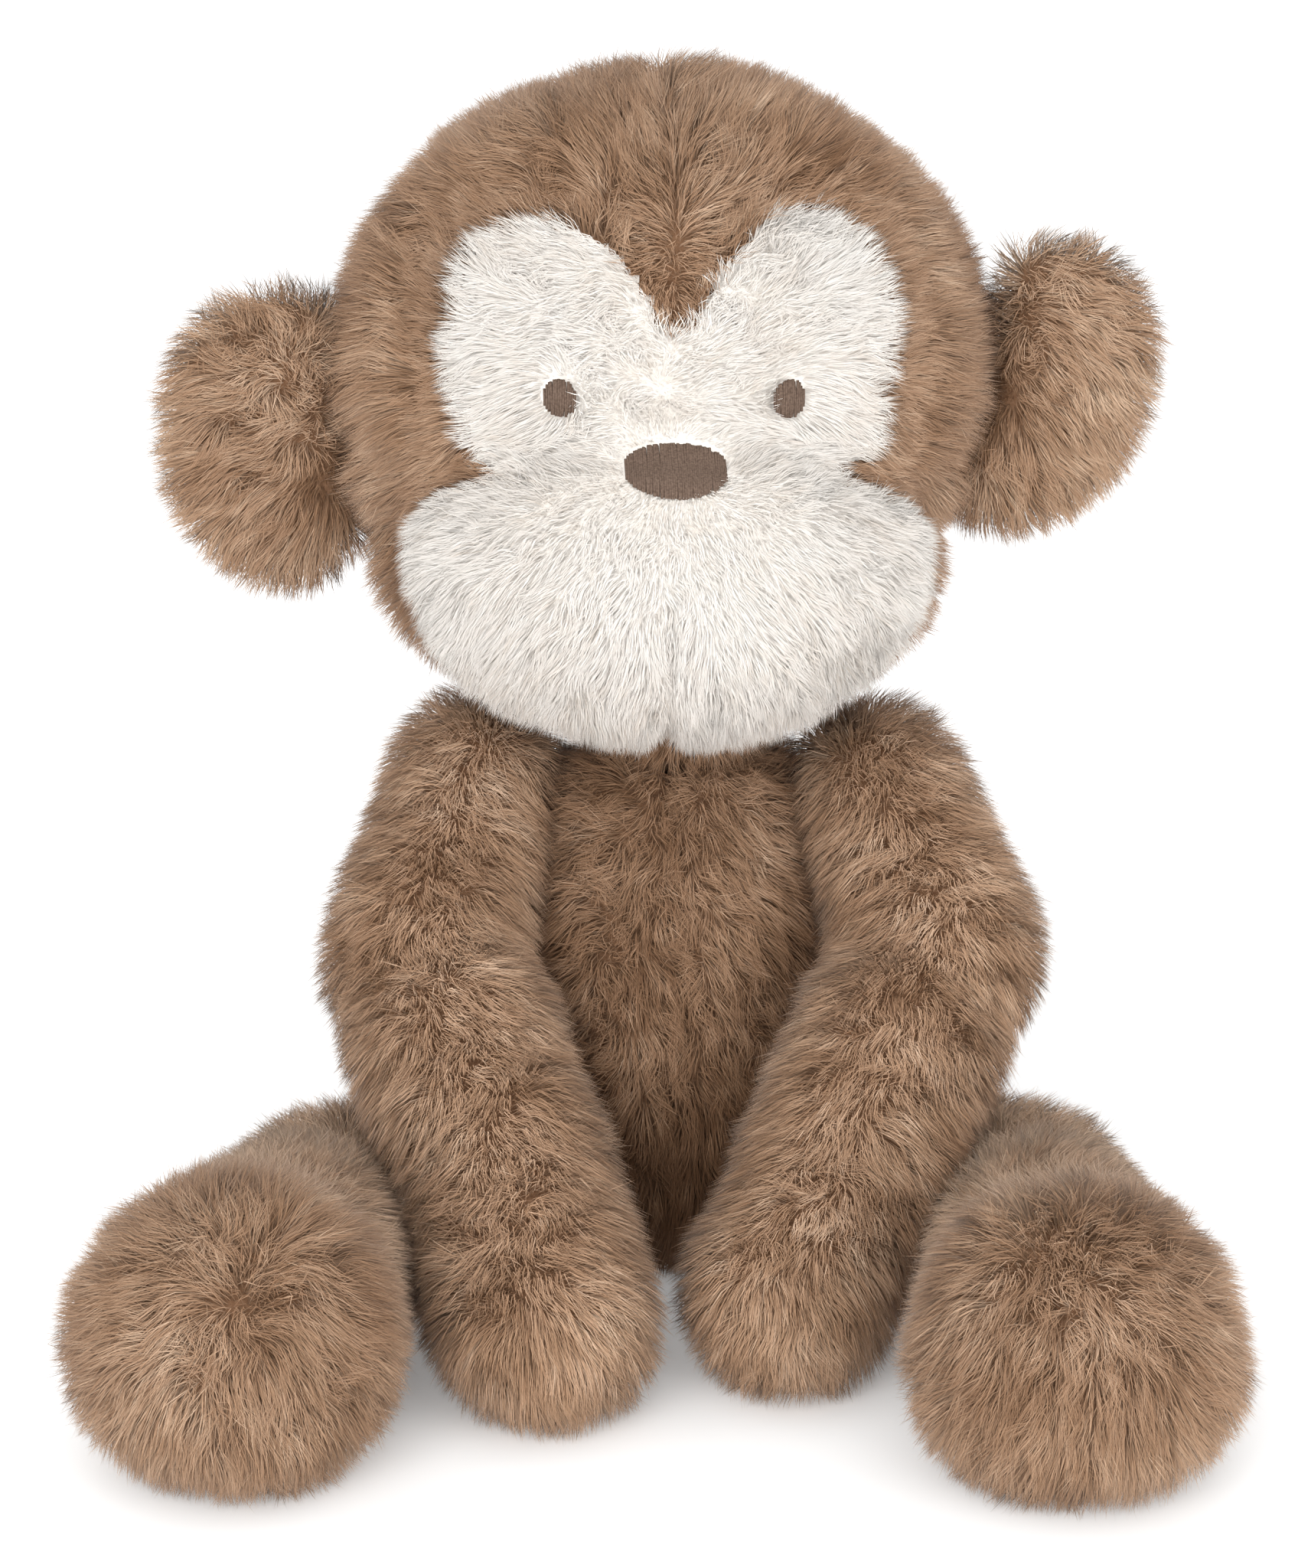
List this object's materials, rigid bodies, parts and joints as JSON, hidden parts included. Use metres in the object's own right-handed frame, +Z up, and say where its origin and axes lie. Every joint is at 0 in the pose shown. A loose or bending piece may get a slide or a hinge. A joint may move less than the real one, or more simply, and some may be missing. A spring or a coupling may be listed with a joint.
{
  "type": "plush monkey",
  "caption": "Seated plush monkey with long brown fur, a white heart-shaped brow patch and muzzle, round ears and floppy jointed limbs.",
  "frame": {"origin": "middle of the flat seat, on the surface that the toy sits on", "axes": "+Z up, the face looks along -Y, +X is on the viewer's right when facing the toy"},
  "size_m": [0.215, 0.2031, 0.243],
  "materials": {
    "brown_fur": "long soft pile",
    "white_fur": "long soft pile",
    "fibre_stuffing": "loose fibre",
    "pellets": "loose pellets",
    "brown_thread": "twisted thread",
    "pouch_cloth": "plain weave"
  },
  "bodies": {
    "torso": {"seat_panel": "brown_fur", "torso_back_right": "brown_fur", "torso_back_left": "brown_fur", "torso_front_right": "brown_fur", "torso_front_left": "brown_fur", "seat_pouch": "pouch_cloth", "seat_pellets": "pellets", "torso_stuffing": "fibre_stuffing", "back_closing_stitches": "brown_thread"},
    "neck": {"neck_seam_thread": "brown_thread", "neck_stuffing": "fibre_stuffing"},
    "head": {"head_back": "brown_fur", "crown_left": "brown_fur", "crown_right": "brown_fur", "brow_patch": "white_fur", "muzzle_left": "white_fur", "muzzle_right": "white_fur", "head_stuffing": "fibre_stuffing", "muzzle_stuffing": "fibre_stuffing", "eye_left": "brown_thread", "eye_right": "brown_thread", "nose": "brown_thread"},
    "ear_left": {"ear_back_left": "brown_fur", "ear_front_left": "brown_fur", "ear_batting_left": "fibre_stuffing", "ear_tack_left": "brown_thread"},
    "upper_arm_left": {"arm_outer_left": "brown_fur", "arm_inner_left": "brown_fur", "arm_stuffing_left": "fibre_stuffing"},
    "forearm_left": {"forearm_outer_left": "brown_fur", "forearm_inner_left": "brown_fur", "forearm_stuffing_left": "fibre_stuffing"},
    "hip_left": {"hip_knot_left": "brown_thread"},
    "thigh_left": {"thigh_outer_left": "brown_fur", "thigh_inner_left": "brown_fur", "thigh_stuffing_left": "fibre_stuffing"},
    "lower_leg_left": {"shin_left": "brown_fur", "sole_left": "brown_fur", "foot_upper_left": "brown_fur", "foot_pellets_left": "pellets", "shin_stuffing_left": "fibre_stuffing"},
    "ear_right": {"ear_back_right": "brown_fur", "ear_front_right": "brown_fur", "ear_batting_right": "fibre_stuffing", "ear_tack_right": "brown_thread"},
    "upper_arm_right": {"arm_outer_right": "brown_fur", "arm_inner_right": "brown_fur", "arm_stuffing_right": "fibre_stuffing"},
    "forearm_right": {"forearm_outer_right": "brown_fur", "forearm_inner_right": "brown_fur", "forearm_stuffing_right": "fibre_stuffing"},
    "hip_right": {"hip_knot_right": "brown_thread"},
    "thigh_right": {"thigh_outer_right": "brown_fur", "thigh_inner_right": "brown_fur", "thigh_stuffing_right": "fibre_stuffing"},
    "lower_leg_right": {"shin_right": "brown_fur", "sole_right": "brown_fur", "foot_upper_right": "brown_fur", "foot_pellets_right": "pellets", "shin_stuffing_right": "fibre_stuffing"}
  },
  "joints": [
    {"name": "neck_turn", "type": "hinge", "parent": "torso", "child": "neck", "pos_m": [0, 0.002, 0.113], "axis": [0, 0, 1], "range_deg": [-40, 40]},
    {"name": "head_nod", "type": "hinge", "parent": "neck", "child": "head", "pos_m": [0, 0.002, 0.113], "axis": [-1, 0, 0], "range_deg": [-9, 20]},
    {"name": "ear_fold_left", "type": "hinge", "parent": "head", "child": "ear_left", "pos_m": [-0.07485, -0.00766, 0.17285], "axis": [-0.113, -0.0059, 0.9936], "range_deg": [-30, 45]},
    {"name": "shoulder_swing_left", "type": "hinge", "parent": "torso", "child": "upper_arm_left", "pos_m": [-0.0415, -0.002, 0.097], "axis": [-1, 0, 0], "range_deg": [0, 60]},
    {"name": "elbow_bend_left", "type": "hinge", "parent": "upper_arm_left", "child": "forearm_left", "pos_m": [-0.0515, -0.031, 0.07], "axis": [-0.9341, -0.3571, 0], "range_deg": [0, 30]},
    {"name": "hip_splay_left", "type": "hinge", "parent": "torso", "child": "hip_left", "pos_m": [-0.034, -0.027, 0.019], "axis": [0, 0, -1], "range_deg": [0, 18]},
    {"name": "hip_swing_left", "type": "hinge", "parent": "hip_left", "child": "thigh_left", "pos_m": [-0.034, -0.027, 0.019], "axis": [-1, 0, 0], "range_deg": [-85, 0]},
    {"name": "knee_bend_left", "type": "hinge", "parent": "thigh_left", "child": "lower_leg_left", "pos_m": [-0.069, -0.051, 0.02], "axis": [-0.9749, 0.2228, 0], "range_deg": [-30, 20]},
    {"name": "ear_fold_right", "type": "hinge", "parent": "head", "child": "ear_right", "pos_m": [0.07123, 0, 0.18153], "axis": [-0.2669, -0.014, -0.9636], "range_deg": [-30, 45]},
    {"name": "shoulder_swing_right", "type": "hinge", "parent": "torso", "child": "upper_arm_right", "pos_m": [0.0415, -0.002, 0.097], "axis": [-1, 0, 0], "range_deg": [0, 60]},
    {"name": "elbow_bend_right", "type": "hinge", "parent": "upper_arm_right", "child": "forearm_right", "pos_m": [0.0545, -0.031, 0.07], "axis": [-0.8596, 0.5109, 0], "range_deg": [0, 30]},
    {"name": "hip_splay_right", "type": "hinge", "parent": "torso", "child": "hip_right", "pos_m": [0.034, -0.027, 0.019], "axis": [0, 0, 1], "range_deg": [0, 18]},
    {"name": "hip_swing_right", "type": "hinge", "parent": "hip_right", "child": "thigh_right", "pos_m": [0.034, -0.027, 0.019], "axis": [-1, 0, 0], "range_deg": [-85, 0]},
    {"name": "knee_bend_right", "type": "hinge", "parent": "thigh_right", "child": "lower_leg_right", "pos_m": [0.072, -0.048, 0.02], "axis": [-0.9986, -0.0526, 0], "range_deg": [-30, 20]}
  ]
}
